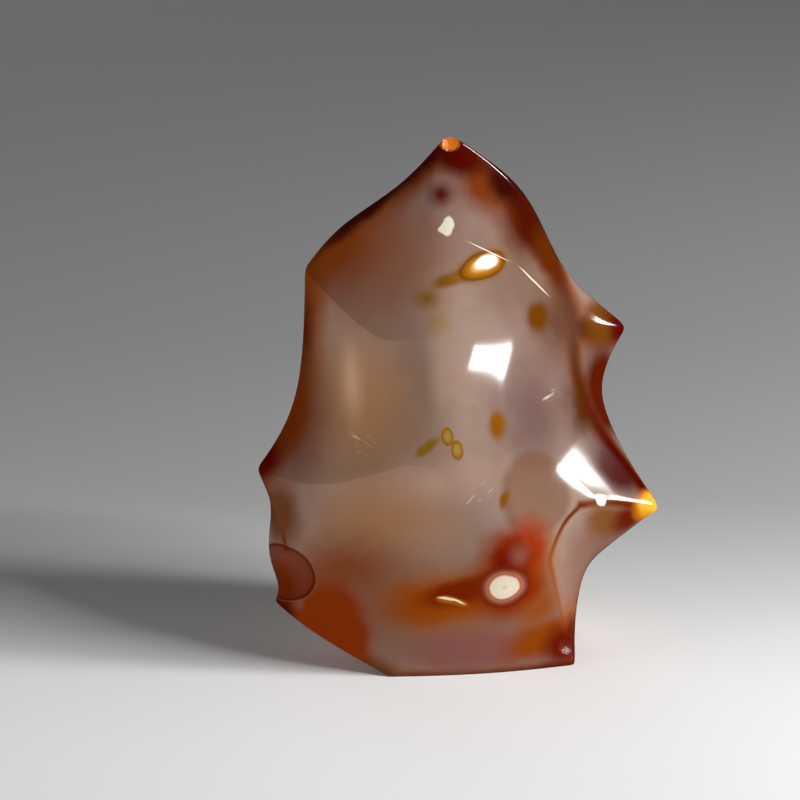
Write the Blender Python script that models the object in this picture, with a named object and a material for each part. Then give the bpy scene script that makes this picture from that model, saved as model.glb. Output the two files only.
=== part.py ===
"""Flame agate freeform: one polished stone that stands on its flat sawn base.

The stone is held as a coarse cage of corner points. Each pane of the cage is one pass of the
grinding wheel, and the edges between passes are creased where the real stone has a ridge.
"""

import math

import bmesh
import bpy
from mathutils import Matrix, Vector

MM = 0.001

# How often each pane is halved, and the bend in degrees below which neighbouring faces count as flat
SUBDIVISIONS = 3
FLAT_ANGLE = 1.0

# Tips and corners of the stone, in millimetres: x to the right, y to the back, z up from the table
APEX = (-2.0, -2.0, 106.5)
LEFT_SHOULDER = (-30.5, 0.5, 78.5)
RIGHT_SHOULDER = (35.5, 10.5, 62.5)
LEFT_POINT = (-40.5, -1.5, 37.0)
RIGHT_POINT = (41.5, -6.0, 29.5)
LEFT_HEEL = (-37.0, -7.5, 11.0)
FRONT_HEEL = (-13.5, -21.0, 0.0)
RIGHT_HEEL = (23.5, -15.0, 0.0)

# Rings of the cage from the foot to the crown. Each goes round from the left edge, past the
# front to the right edge, and back behind the stone.
FOOT = [
    LEFT_HEEL,
    (-29.0, -15.5, 7.0),
    FRONT_HEEL,
    (-1.5, -20.5, 0.0),
    (11.5, -18.5, 0.0),
    RIGHT_HEEL,
    (24.5, -2.5, 0.0),
    (21.0, 11.5, 0.0),
    (9.0, 17.5, 0.0),
    (-8.0, 17.5, 0.0),
    (-34.0, 6.5, 8.0),
]
SKIRT = [
    (-32.0, -11.5, 23.5),
    (-23.0, -19.5, 20.5),
    (-14.5, -23.5, 17.0),
    (-1.5, -22.5, 16.5),
    (10.5, -20.5, 16.5),
    (18.0, -18.0, 24.0),
    (28.0, -1.0, 17.0),
    (21.0, 13.5, 15.0),
    (9.0, 20.5, 15.0),
    (-10.0, 20.5, 15.0),
    (-47.5, 3.5, 15.0),
]
POINTS = [
    LEFT_POINT,
    (-29.5, -11.5, 36.0),
    (-16.5, -20.5, 42.5),
    (-2.5, -23.0, 50.5),
    (9.5, -24.5, 30.0),
    (22.0, -14.8, 36.5),
    RIGHT_POINT,
    (25.0, 15.5, 33.0),
    (10.0, 23.5, 40.0),
    (-12.0, 22.5, 38.0),
    (-33.0, 11.0, 31.0),
]
WAIST = [
    (-31.0, -0.5, 50.0),
    (-22.5, -5.5, 53.0),
    (-12.5, -13.5, 55.5),
    (-6.0, -24.0, 59.0),
    (10.0, -14.5, 61.5),
    (23.5, 0.0, 49.5),
    (28.2, 9.5, 52.0),
    (22.0, 13.5, 51.0),
    (10.0, 21.5, 54.0),
    (-8.0, 21.5, 52.0),
    (-24.0, 8.5, 53.0),
]
SHOULDERS = [
    LEFT_SHOULDER,
    (-21.0, -6.5, 69.5),
    (-12.0, -13.5, 65.0),
    (-4.5, -13.0, 68.5),
    (10.5, -7.0, 68.5),
    (23.0, 3.0, 65.0),
    RIGHT_SHOULDER,
    (24.0, 16.5, 68.0),
    (9.0, 21.5, 69.0),
    (-8.0, 20.5, 66.0),
    (-23.0, 10.5, 72.0),
]
NECK = [
    (-24.0, 1.5, 87.0),
    (-14.5, -3.5, 85.0),
    (-5.5, -7.0, 85.5),
    (1.5, -7.5, 86.5),
    (9.5, -3.5, 85.5),
    (18.9, 4.5, 80.5),
    (20.5, 9.5, 74.5),
    (14.0, 12.5, 83.0),
    (4.0, 16.5, 84.0),
    (-7.0, 14.5, 84.0),
    (-17.0, 7.5, 86.0),
]
CROWN = [
    (-11.0, 1.5, 94.5),
    (-9.0, -0.5, 95.0),
    (-6.5, -3.5, 95.5),
    (-1.5, -4.0, 96.5),
    (4.5, -2.5, 96.5),
    (12.3, 1.5, 95.6),
    (16.0, 8.0, 91.5),
    (8.0, 7.5, 93.0),
    (2.0, 9.0, 95.0),
    (-4.0, 7.0, 95.0),
    (-8.0, 3.0, 95.0),
]
RINGS = [FOOT, SKIRT, POINTS, WAIST, SHOULDERS, NECK, CROWN]
COLUMNS = len(FOOT)

# Panes that the ridges from the right point split into two triangles, (ring, column)
SPLIT_PANES = [(2, 5), (1, 4)]

# Inner corners of the sawn base, where the undercut left side leaves the table
BASE_LEFT = (-23.0, 3.5, 0.0)
BASE_FRONT = (-19.0, -11.5, 0.0)

# Ridges as runs of cage corners, (ring, column), each with how sharp it is on the way
TOP = (len(RINGS), 0)
RIDGES = [
    ([TOP, (6, 0), (5, 0), (4, 0), (3, 0), (2, 0)], [0.8, 0.8, 0.8, 0.8, 0.8]),
    ([(4, 0), (4, 1), (4, 2), (4, 3)], [0.8, 0.7, 0.25]),
    ([(2, 0), (2, 1), (2, 2), (2, 3)], [0.85, 0.8, 0.45]),
    ([(2, 0), (1, 0)], [0.7]),
    ([TOP, (6, 2), (5, 2)], [0.6, 0.35]),
    ([TOP, (6, 5), (5, 5), (4, 5), (3, 5), (2, 6)], [0.8, 0.8, 0.8, 0.8, 0.8]),
    ([(4, 5), (4, 6)], [0.75]),
    ([(3, 4), (2, 4), (1, 5)], [0.4, 0.6]),
    ([(4, 3), (3, 3)], [0.3]),
    ([(2, 6), (2, 5), (1, 5), (0, 5)], [0.8, 0.8, 0.8]),
    ([(2, 6), (1, 6)], [0.45]),
    ([(4, 6), (3, 6)], [0.4]),
    ([(4, 6), (4, 7), (4, 8)], [0.8, 0.55]),
    ([(2, 6), (2, 7), (2, 8)], [0.8, 0.55]),
    ([(2, 7), (1, 7), (0, 7)], [0.6, 0.8]),
    ([(4, 0), (4, 10), (4, 9)], [0.7, 0.5]),
    ([(2, 0), (2, 10), (2, 9)], [0.8, 0.5]),
    ([TOP, (6, 8), (5, 8), (4, 8)], [0.6, 0.6, 0.4]),
]

# Corners that stay pointed where the ridges meet, (ring, column), with how sharp each is
TIPS = {
    TOP: 0.7,
    (4, 0): 0.4,
    (4, 6): 0.4,
    (4, 5): 0.7,
    (2, 0): 0.9,
    (2, 6): 0.9,
    (0, 0): 0.4,
    (0, 2): 0.5,
    (0, 5): 0.85,
}

# Wheel marks and chips cut after the stone was shaped. Each is the deepest spot of the cut, its
# turn from the front and tilt up in degrees, how far the cut's ellipsoid reaches across, up and
# out in millimetres, and the number of sides that the ellipsoid has round it.
WHEEL_MARKS = {
    "left_heel_scallop": ((-31.0, -10.5, 18.5), -46.0, 4.0, (13.0, 11.0, 9.0), 48),
    "apex_chip": ((-1.4, -1.7, 103.5), 10.0, 35.0, (6.0, 5.0, 6.0), 32),
    "right_point_chip": ((38.6, -7.2, 30.0), 15.0, 20.0, (5.0, 6.0, 7.0), 32),
    "right_heel_chip": ((21.3, -14.9, 4.0), 40.0, 10.0, (4.0, 3.0, 4.0), 32),
}


def cage_corner(verts, ring, column):
    """Return the cage vert of a ring and column, or the apex above the last ring."""
    if ring == len(RINGS):
        return verts[-1]
    return verts[ring * COLUMNS + column % COLUMNS]


def build_cage():
    """Build the stone's cage as a closed mesh of panes with creased ridges."""
    shape = bmesh.new()
    crease = shape.edges.layers.float.new("crease_edge")
    point = shape.verts.layers.float.new("crease_vert")
    corners = [corner for ring in RINGS for corner in ring] + [APEX]
    verts = [shape.verts.new(Vector(corner) * MM) for corner in corners]
    for ring in range(len(RINGS) - 1):
        for column in range(COLUMNS):
            pane = (
                cage_corner(verts, ring, column),
                cage_corner(verts, ring, column + 1),
                cage_corner(verts, ring + 1, column + 1),
                cage_corner(verts, ring + 1, column),
            )
            if (ring, column) in SPLIT_PANES:
                shape.faces.new((pane[0], pane[1], pane[3]))
                shape.faces.new((pane[1], pane[2], pane[3]))
            else:
                shape.faces.new(pane)
    last = len(RINGS) - 1
    for column in range(COLUMNS):
        side = cage_corner(verts, last, column)
        following = cage_corner(verts, last, column + 1)
        shape.faces.new((side, following, verts[-1]))
    base_left = shape.verts.new(Vector(BASE_LEFT) * MM)
    base_front = shape.verts.new(Vector(BASE_FRONT) * MM)
    foot = verts[:COLUMNS]
    shape.faces.new((foot[1], foot[0], base_left, base_front))
    shape.faces.new((foot[2], foot[1], base_front))
    shape.faces.new((foot[0], foot[-1], base_left))
    shape.faces.new((foot[-1], foot[-2], base_left))
    shape.faces.new([base_front, base_left] + foot[-2:1:-1])
    foot_edges = [shape.edges.get((foot[i], foot[(i + 1) % COLUMNS])) for i in range(COLUMNS)]
    sawn_edges = [
        shape.edges.get((foot[2], base_front)),
        shape.edges.get((base_front, base_left)),
        shape.edges.get((base_left, foot[-2])),
    ]
    for edge in foot_edges + sawn_edges:
        edge[crease] = 1.0
    for corners, sharpness in RIDGES:
        for start, end, value in zip(corners, corners[1:], sharpness):
            edge = shape.edges.get((cage_corner(verts, *start), cage_corner(verts, *end)))
            edge[crease] = value
    for tip, sharpness in TIPS.items():
        cage_corner(verts, *tip)[point] = sharpness
    bmesh.ops.recalc_face_normals(shape, faces=shape.faces)
    return shape


def cut_wheel_marks(stone):
    """Cut each wheel mark from the stone with an ellipsoid that only meets its skin."""
    for name, (spot, turn, tilt, reach, sides) in WHEEL_MARKS.items():
        facing = Matrix.Rotation(math.radians(turn), 4, "Z") @ Matrix.Rotation(math.radians(-tilt), 4, "X")
        outward = facing @ Vector((0.0, -1.0, 0.0))
        middle = (Vector(spot) + outward * reach[2]) * MM
        size = Matrix.Diagonal((reach[0] * MM, reach[2] * MM, reach[1] * MM, 1.0))
        shape = bmesh.new()
        bmesh.ops.create_uvsphere(
            shape,
            u_segments=sides,
            v_segments=sides // 2,
            radius=1.0,
            matrix=Matrix.Translation(middle) @ facing @ size,
        )
        mesh = bpy.data.meshes.new(name)
        shape.to_mesh(mesh)
        shape.free()
        mesh.shade_smooth()
        wheel = bpy.data.objects.new(name, mesh)
        bpy.context.collection.objects.link(wheel)
        wheel.hide_render = True
        wheel.display_type = "WIRE"
        cut = stone.modifiers.new(name, "BOOLEAN")
        cut.operation = "DIFFERENCE"
        cut.solver = "EXACT"
        cut.object = wheel


def polished_agate():
    """Make the stone's plain material: milky brown-grey agate with a glossy polish."""
    material = bpy.data.materials.new("polished_agate")
    material.use_nodes = True
    shader = material.node_tree.nodes["Principled BSDF"]
    shader.inputs["Base Color"].default_value = (0.33, 0.17, 0.11, 1.0)
    shader.inputs["Roughness"].default_value = 0.12
    shader.inputs["Metallic"].default_value = 0.0
    return material


def build_stone():
    """Build the stone: the cage smoothed between its ridges, less the wheel marks and chips."""
    mesh = bpy.data.meshes.new("agate_stone")
    shape = build_cage()
    shape.to_mesh(mesh)
    shape.free()
    mesh.materials.append(polished_agate())
    mesh.shade_smooth()
    stone = bpy.data.objects.new("agate_stone", mesh)
    bpy.context.collection.objects.link(stone)
    smooth = stone.modifiers.new("ground_smooth", "SUBSURF")
    smooth.levels = SUBDIVISIONS
    smooth.render_levels = SUBDIVISIONS
    cut_wheel_marks(stone)
    flats = stone.modifiers.new("plain_flats", "DECIMATE")
    flats.decimate_type = "DISSOLVE"
    flats.angle_limit = math.radians(FLAT_ANGLE)
    return stone


for old in list(bpy.data.objects):
    bpy.data.objects.remove(old)
build_stone()
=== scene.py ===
"""Flame agate freeform: the fine surface of the polished stone, its colouring and its studio.

The stone is one piece of chalcedony, ground hollow between its ridges on a wheel and polished all
over. The corner points below are the same as the solid's, in millimetres. Grey-mauve agate with a
milky depth fills the middle. Iron has stained the points, the thin edges and some patches red.
"""

from __future__ import annotations

import logging
import math
from collections.abc import Iterable
from dataclasses import dataclass, field
from enum import Enum

import bmesh
import bpy
from mathutils import Matrix, Vector
from mathutils.kdtree import KDTree


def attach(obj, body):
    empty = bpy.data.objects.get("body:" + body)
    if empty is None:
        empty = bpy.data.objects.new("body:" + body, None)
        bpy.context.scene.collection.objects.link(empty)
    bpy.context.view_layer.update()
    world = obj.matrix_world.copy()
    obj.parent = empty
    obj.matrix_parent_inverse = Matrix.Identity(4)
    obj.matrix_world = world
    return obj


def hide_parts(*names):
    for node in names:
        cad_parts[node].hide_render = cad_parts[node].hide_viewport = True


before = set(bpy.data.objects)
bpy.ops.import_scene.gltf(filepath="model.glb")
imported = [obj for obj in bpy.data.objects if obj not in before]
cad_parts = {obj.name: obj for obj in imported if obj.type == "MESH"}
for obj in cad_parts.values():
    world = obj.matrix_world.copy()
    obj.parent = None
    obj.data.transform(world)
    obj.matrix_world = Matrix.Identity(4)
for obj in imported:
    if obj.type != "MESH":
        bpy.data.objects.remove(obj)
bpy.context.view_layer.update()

LOG = logging.getLogger("flame_agate")
MM = 0.001

Triple = tuple[float, float, float]
Corner = Triple
Place = tuple[int, int]
Colour = tuple[float, float, float, float]
Shells = tuple[tuple[float, str, float], ...]
Socket = bpy.types.NodeSocket

# Colour sockets of a mix: what lies under, what lies over it, and what comes out
UNDER, OVER, MIXED = 6, 7, 2


def linear(hex_colour: str, opaque: float = 1.0) -> Colour:
    """Turn an sRGB hex colour into the linear values that shaders take.

    Args:
        hex_colour: Six hex digits after a hash.
        opaque: Opacity, 0 to 1.

    Returns:
        Red, green and blue, linear, and the opacity.
    """
    parts = [int(hex_colour[i : i + 2], 16) / 255.0 for i in (1, 3, 5)]
    red, green, blue = [p / 12.92 if p <= 0.04045 else ((p + 0.055) / 1.055) ** 2.4 for p in parts]
    return red, green, blue, opaque


def add_node(
    tree: bpy.types.NodeTree, kind: str, settings: dict | None = None, links: dict | None = None
) -> bpy.types.Node:
    """Add a node to a tree with its settings and its inputs.

    Args:
        tree: The node tree to add to.
        kind: The name of the node's type.
        settings: Properties of the node, by name.
        links: Inputs by name or index: an output socket to link, or a plain value to set.

    Returns:
        The new node.
    """
    node = tree.nodes.new(kind)
    for name, value in (settings or {}).items():
        setattr(node, name, value)
    for key, value in (links or {}).items():
        if isinstance(value, Socket):
            tree.links.new(value, node.inputs[key])
        else:
            node.inputs[key].default_value = value
    return node


def fill_ramp(ramp: bpy.types.ColorRamp, stops: list[tuple[float, Colour]]) -> None:
    """Give a new ramp its stops, the first ones in place of its own.

    Args:
        ramp: The ramp.
        stops: Where each colour is full, 0 to 1, and the colour.
    """
    for index, (where, colour) in enumerate(stops):
        stop = ramp.elements[index] if index < len(ramp.elements) else ramp.elements.new(where)
        stop.position = where
        stop.color = colour


@dataclass(frozen=True)
class Inside:
    """The inside of the stone, as a finish's nodes read it.

    Attributes:
        tree: The finish's node tree.
        place: Points in millimetres.
        wander: A noise vector between minus and plus one.
    """

    tree: bpy.types.NodeTree
    place: Socket
    wander: Socket


class Layer:
    """Something in the agate that hides part of what lies behind it."""

    def show(self, agate: Inside) -> tuple[Socket, Socket | Colour]:
        """Add the layer's own nodes.

        Args:
            agate: The inside of the stone.

        Returns:
            How much it hides at each point, 0 to 1, and its colour.
        """
        raise NotImplementedError

    def paint(self, agate: Inside, under: Socket) -> Socket:
        """Add nodes that lay the layer over the colour under it.

        Args:
            agate: The inside of the stone.
            under: Colour socket of the agate behind.

        Returns:
            The new colour socket.
        """
        share, colour = self.show(agate)
        over = add_node(
            agate.tree,
            "ShaderNodeMix",
            {"data_type": "RGBA"},
            {"Factor": share, UNDER: under, OVER: colour},
        )
        return over.outputs[MIXED]


class Veil(Enum):
    """How a stain ends: where its colour is full and where it is gone, in parts of its size."""

    HAZE = (0.0, 1.25)
    CLOUD = (0.35, 1.15)
    PATCH = (0.65, 1.1)
    SPOT = (0.8, 1.04)


@dataclass(frozen=True)
class Inclusion(Layer):
    """An ellipsoid inside the stone that the polished skin cuts, so that it shows as an oval.

    Attributes:
        spot: Its middle, in millimetres.
        reach: Half sizes across, into and up the stone, in millimetres.
        roll: Turn of the oval on the face, in degrees.
        tilt: How far it faces up, in degrees.
        ragged: How far its edge wanders, in millimetres.
    """

    spot: Corner
    reach: Triple
    roll: float = field(default=0.0, kw_only=True)
    tilt: float = field(default=19.0, kw_only=True)
    ragged: float = field(default=0.8, kw_only=True)

    def facing(self) -> Triple:
        """Return the ellipsoid's rotation as XYZ angles."""
        rolled = Matrix.Rotation(math.radians(self.roll), 3, "Y")
        return tuple((Matrix.Rotation(math.radians(-self.tilt), 3, "X") @ rolled).to_euler("XYZ"))

    def depth(self, agate: Inside) -> Socket:
        """Add nodes for how far a point is from the middle, as 1 at the ellipsoid's skin.

        Args:
            agate: The inside of the stone.

        Returns:
            The distance socket.
        """
        strayed = add_node(
            agate.tree,
            "ShaderNodeVectorMath",
            {"operation": "MULTIPLY_ADD"},
            {0: agate.wander, 1: (self.ragged,) * 3, 2: agate.place},
        )
        local = add_node(
            agate.tree,
            "ShaderNodeMapping",
            {"vector_type": "TEXTURE"},
            {
                "Vector": strayed.outputs[0],
                "Location": self.spot,
                "Rotation": self.facing(),
                "Scale": self.reach,
            },
        )
        reached = add_node(
            agate.tree, "ShaderNodeVectorMath", {"operation": "LENGTH"}, {0: local.outputs[0]}
        )
        return reached.outputs["Value"]

    def share(self, agate: Inside, veil: Veil, strength: float) -> Socket:
        """Add nodes for how much it hides at each point, when its edge fades.

        Args:
            agate: The inside of the stone.
            veil: How the edge fades.
            strength: How much is hidden in the middle, 0 to 1.

        Returns:
            The socket of the share that is hidden.
        """
        full, gone = veil.value
        faded = add_node(
            agate.tree,
            "ShaderNodeMapRange",
            {"interpolation_type": "SMOOTHSTEP"},
            {
                "Value": self.depth(agate),
                "From Min": full,
                "From Max": gone,
                "To Min": strength,
                "To Max": 0.0,
            },
        )
        return faded.outputs[0]


@dataclass(frozen=True)
class Stain(Inclusion):
    """A cloud of colour in the agate: iron or milk, and in some places painted light and shade.

    Attributes:
        colour: Its sRGB colour.
        veil: How its edge fades.
        strength: How much of the agate behind it is hidden, 0 to 1.
    """

    colour: str = "#802e02"
    veil: Veil = Veil.CLOUD
    strength: float = 1.0

    def show(self, agate: Inside) -> tuple[Socket, Colour]:
        """Add the stain's nodes, and return its share and its colour."""
        return self.share(agate, self.veil, self.strength), linear(self.colour)


@dataclass(frozen=True)
class Eye(Inclusion):
    """A ringed eye: agate that grew in thin shells round a point. Its rings also paint shade round a
    facet.

    Attributes:
        rings: Colours from the middle out: where each is full, the colour, and its opacity there.
    """

    rings: Shells = ()

    def show(self, agate: Inside) -> tuple[Socket, Socket]:
        """Add the eye's nodes.

        Args:
            agate: The inside of the stone.

        Returns:
            The opacity and the colour of its shells.
        """
        shells = add_node(agate.tree, "ShaderNodeValToRGB", None, {0: self.depth(agate)})
        stops = [(where, linear(colour, opaque)) for where, colour, opaque in self.rings]
        fill_ramp(shells.color_ramp, stops)
        return shells.outputs["Alpha"], shells.outputs["Color"]


@dataclass(frozen=True)
class Scuff(Inclusion):
    """A patch of fine pale scratches that run the same way.

    Attributes:
        colour: Colour of the scratches, in sRGB.
        hair: Width and length of a scratch, in millimetres. The real ones are finer than would show.
        bite: Where in the noise a scratch begins, and where it is full.
        strength: How far the scratches hide the agate, 0 to 1.
    """

    colour: str = "#e4d6c8"
    hair: tuple[float, float] = (0.3, 3.5)
    bite: tuple[float, float] = (0.62, 0.7)
    strength: float = 0.6

    def show(self, agate: Inside) -> tuple[Socket, Colour]:
        """Add the nodes of the scratches.

        Args:
            agate: The inside of the stone.

        Returns:
            How much they hide at each point, and their colour.
        """
        width, length = self.hair
        along = add_node(
            agate.tree,
            "ShaderNodeMapping",
            {"vector_type": "TEXTURE"},
            {
                "Vector": agate.place,
                "Location": self.spot,
                "Rotation": self.facing(),
                "Scale": (length, length, width),
            },
        )
        hairs = add_node(
            agate.tree,
            "ShaderNodeTexNoise",
            None,
            {"Vector": along.outputs[0], "Scale": 1.0, "Detail": 1.0},
        )
        begins, full = self.bite
        drawn = add_node(
            agate.tree,
            "ShaderNodeMapRange",
            None,
            {"Value": hairs.outputs[0], "From Min": begins, "From Max": full},
        )
        share = self.share(agate, Veil.CLOUD, self.strength)
        both = add_node(
            agate.tree, "ShaderNodeMath", {"operation": "MULTIPLY"}, {0: drawn.outputs[0], 1: share}
        )
        return both.outputs[0], linear(self.colour)


@dataclass(frozen=True)
class Rust(Layer):
    """Iron that soaked into the agate from its points and thin edges.

    Attributes:
        shells: Colours from where the rust ends out to the edge: how far out, colour, opacity.
        waver: How far the shells wander, as a share of the way in.
    """

    shells: Shells = (
        (0.0, "#90561c", 0.0),
        (0.3, "#864610", 0.6),
        (0.6, "#702f00", 0.95),
        (0.8, "#500c00", 1.0),
        (1.0, "#380400", 1.0),
    )
    waver: float = 0.16

    def show(self, agate: Inside) -> tuple[Socket, Socket]:
        """Add the nodes of the soaked edges.

        Args:
            agate: The inside of the stone.

        Returns:
            The opacity and the colour of the rust.
        """
        near_edge = add_node(agate.tree, "ShaderNodeAttribute", {"attribute_name": "rust"})
        waves = add_node(agate.tree, "ShaderNodeSeparateXYZ", None, {0: agate.wander})
        soaked = add_node(
            agate.tree,
            "ShaderNodeMath",
            {"operation": "MULTIPLY_ADD"},
            {0: waves.outputs[0], 1: self.waver, 2: near_edge.outputs["Fac"]},
        )
        shells = add_node(agate.tree, "ShaderNodeValToRGB", None, {0: soaked.outputs[0]})
        stops = [(where, linear(colour, opaque)) for where, colour, opaque in self.shells]
        fill_ramp(shells.color_ramp, stops)
        return shells.outputs["Alpha"], shells.outputs["Color"]


@dataclass(frozen=True)
class AgateColours:
    """The colouring with some painted light and shade, the same all through its polished skin and chips.

    Attributes:
        stains: Stains, eyes and scuffs, the lower ones first.
        milk: Pale chalcedony where light comes back out of the stone.
        mauve: The greyer, colder agate that drifts through the milk.
        clouds: The mauve clouds: their width in millimetres, their detail and its roughness.
        cold: Where in the clouds the mauve begins, and where it is full.
        waves: The small waves in every edge: width in millimetres, detail and its roughness.
        rust: The iron that soaked in from the edges.
    """

    stains: tuple[Inclusion, ...]
    milk: str = "#9f8678"
    mauve: str = "#92786e"
    clouds: Triple = (26.0, 3.0, 0.5)
    cold: tuple[float, float] = (0.42, 0.62)
    waves: Triple = (5.0, 2.0, 0.55)
    rust: Rust = Rust()

    def paint(self, tree: bpy.types.NodeTree) -> tuple[Socket, Socket]:
        """Add the nodes of the whole colouring.

        Args:
            tree: The finish's node tree.

        Returns:
            The colour socket, and the points in millimetres.
        """
        coordinates = add_node(tree, "ShaderNodeTexCoord")
        place = add_node(
            tree,
            "ShaderNodeVectorMath",
            {"operation": "SCALE"},
            {0: coordinates.outputs["Object"], "Scale": 1.0 / MM},
        ).outputs[0]
        clouds, waves = [
            add_node(
                tree,
                "ShaderNodeTexNoise",
                None,
                {"Vector": place, "Scale": 1.0 / width, "Detail": detail, "Roughness": roughness},
            )
            for width, detail, roughness in (self.clouds, self.waves)
        ]
        # The noise runs from nought to one, and an edge wanders both ways
        wander = add_node(
            tree,
            "ShaderNodeVectorMath",
            {"operation": "MULTIPLY_ADD"},
            {0: waves.outputs["Color"], 1: (2.0,) * 3, 2: (-1.0,) * 3},
        ).outputs[0]
        begins, full = self.cold
        cold = add_node(
            tree,
            "ShaderNodeMapRange",
            {"interpolation_type": "SMOOTHSTEP"},
            {"Value": clouds.outputs[0], "From Min": begins, "From Max": full},
        )
        body = add_node(
            tree,
            "ShaderNodeMix",
            {"data_type": "RGBA"},
            {"Factor": cold.outputs[0], UNDER: linear(self.milk), OVER: linear(self.mauve)},
        )
        agate = Inside(tree, place, wander)
        colour = body.outputs[MIXED]
        for layer in (self.rust, *self.stains):
            colour = layer.paint(agate, colour)
        # Last comes the painted shade and painted reflection of the ground faces
        return self.paint_face_shades(tree, colour), place

    @staticmethod
    def paint_face_shades(tree: bpy.types.NodeTree, under: Socket) -> Socket:
        """Add the painted shade: nodes that darken or lighten a ground face up to its ridge.

        Args:
            tree: The finish's node tree.
            under: Colour socket of the agate.

        Returns:
            The new colour socket.
        """
        # Painted shade: each face's stored share darkens or lightens the agate
        painted_shade = add_node(tree, "ShaderNodeAttribute", {"attribute_name": "painted_shade"})
        light = add_node(tree, "ShaderNodeMath", {"operation": "ADD"}, {0: painted_shade.outputs["Fac"], 1: 1.0})
        lit = add_node(
            tree, "ShaderNodeVectorMath", {"operation": "SCALE"}, {0: under, "Scale": light.outputs[0]}
        )
        return lit.outputs[0]


@dataclass(frozen=True)
class AgateFinish:
    """What the stone's finishes have in common.

    Attributes:
        colours: The stone's colouring.
        index: Refractive index of chalcedony.
    """

    colours: AgateColours
    index: float = 1.54

    def start(self, name: str) -> tuple[bpy.types.Material, bpy.types.Node, Socket]:
        """Start a finish with the stone's colouring.

        Args:
            name: The finish's name.

        Returns:
            The material, its shader, and the points in millimetres.
        """
        material = bpy.data.materials.new(name)
        material.use_nodes = True
        tree = material.node_tree
        shader = tree.nodes["Principled BSDF"]
        colour, place = self.colours.paint(tree)
        tree.links.new(colour, shader.inputs["Base Color"])
        shader.inputs["IOR"].default_value = self.index
        return material, shader, place


@dataclass(frozen=True)
class PolishedAgate(AgateFinish):
    """Chalcedony ground on a wheel and polished: a glassy skin with sharp highlights over a milky depth.

    Attributes:
        gloss: Roughness of the polished skin.
        sheen: Share of the skin that mirrors, on the shader's own scale, where 0.5 is a flawless polish.
        depth_mm: How far light wanders under the skin.
        warmth: How far the red, green and blue of it wander, as shares of that depth.
        glow: Share of the light that goes under the skin.
    """

    gloss: float = 0.11
    sheen: float = 0.25
    depth_mm: float = 2.0
    warmth: Triple = (1.0, 0.5, 0.3)
    glow: float = 0.3

    def make(self) -> bpy.types.Material:
        """Make the finish.

        Returns:
            The material.
        """
        material, shader, _ = self.start("polished_agate")
        # The polish is a little hazy, so the edges of the highlights are soft
        shader.inputs["Roughness"].default_value = self.gloss
        shader.inputs["Specular IOR Level"].default_value = self.sheen
        # Light that comes back out lifts the shadows, the red most
        shader.inputs["Subsurface Weight"].default_value = self.glow
        shader.inputs["Subsurface Radius"].default_value = self.warmth
        shader.inputs["Subsurface Scale"].default_value = self.depth_mm * MM
        return material


@dataclass(frozen=True)
class BruisedAgate(AgateFinish):
    """The same agate where a knock has flaked it: small rough shells that break up the highlights.

    Attributes:
        gloss: Roughness of the flakes.
        grain_mm: Size of the small shell-shaped flakes.
        relief_mm: Height of the flakes.
        shading: How strongly their relief shades, 0 to 1.
    """

    gloss: float = 0.35
    grain_mm: float = 0.5
    relief_mm: float = 0.15
    shading: float = 0.6

    def make(self) -> bpy.types.Material:
        """Make the finish.

        Returns:
            The material.
        """
        material, shader, place = self.start("bruised_agate")
        tree = material.node_tree
        flakes = add_node(
            tree, "ShaderNodeTexVoronoi", None, {"Vector": place, "Scale": 1.0 / self.grain_mm}
        )
        height = self.relief_mm * MM
        relief = add_node(
            tree,
            "ShaderNodeBump",
            None,
            {"Strength": self.shading, "Distance": height, "Height": flakes.outputs["Distance"]},
        )
        tree.links.new(relief.outputs[0], shader.inputs["Normal"])
        shader.inputs["Roughness"].default_value = self.gloss
        return material


class Skin(Enum):
    """The stone's finishes, by their material slot."""

    POLISHED = 0
    BRUISED = 1


@dataclass(frozen=True)
class Cut:
    """A mark that is cut from the finished stone by an ellipsoid that only meets its skin.

    Attributes:
        name: The mark's name.
        spot: Its deepest spot, in millimetres.
        turn: Turn from the front, in degrees.
        tilt: Tilt up, in degrees.
        reach: Half sizes of the ellipsoid across, up and out, in millimetres.
        rough: Random unevenness of a flaked chip, in millimetres. A wheel mark has none.
        seed: Seed of the unevenness.
        fineness: Steps of a chip's ellipsoid, each past the first halving its panes.
        segments: Panes round a wheel mark's ellipsoid, which has half as many rings.
    """

    name: str
    spot: Corner
    turn: float
    tilt: float
    reach: Triple
    rough: float = 0.0
    seed: int = 3
    fineness: int = 5
    segments: int = 160

    def make(self) -> bpy.types.Object:
        """Make the cutting ellipsoid.

        Returns:
            The ellipsoid.
        """
        turned = Matrix.Rotation(math.radians(self.turn), 3, "Z")
        facing = turned @ Matrix.Rotation(math.radians(-self.tilt), 3, "X")
        across, up, out = self.reach
        middle = Vector(self.spot) + facing @ Vector((0.0, -out, 0.0))
        bpy.ops.object.select_all(action="DESELECT")
        if self.rough:
            bpy.ops.mesh.primitive_ico_sphere_add(subdivisions=self.fineness, radius=1.0)
        else:
            rings = self.segments // 2
            bpy.ops.mesh.primitive_uv_sphere_add(segments=self.segments, ring_count=rings, radius=1.0)
        cutter = bpy.context.object
        cutter.name = self.name
        cutter.scale = (across * MM, out * MM, up * MM)
        cutter.rotation_euler = facing.to_euler()
        cutter.location = middle * MM
        bpy.ops.object.transform_apply(location=True, rotation=True, scale=True)
        bpy.ops.object.shade_smooth()
        if self.rough:
            bpy.ops.object.mode_set(mode="EDIT")
            bpy.ops.mesh.select_all(action="SELECT")
            bpy.ops.transform.vertex_random(offset=self.rough * MM, seed=self.seed)
            bpy.ops.object.mode_set(mode="OBJECT")
        return cutter


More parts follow.
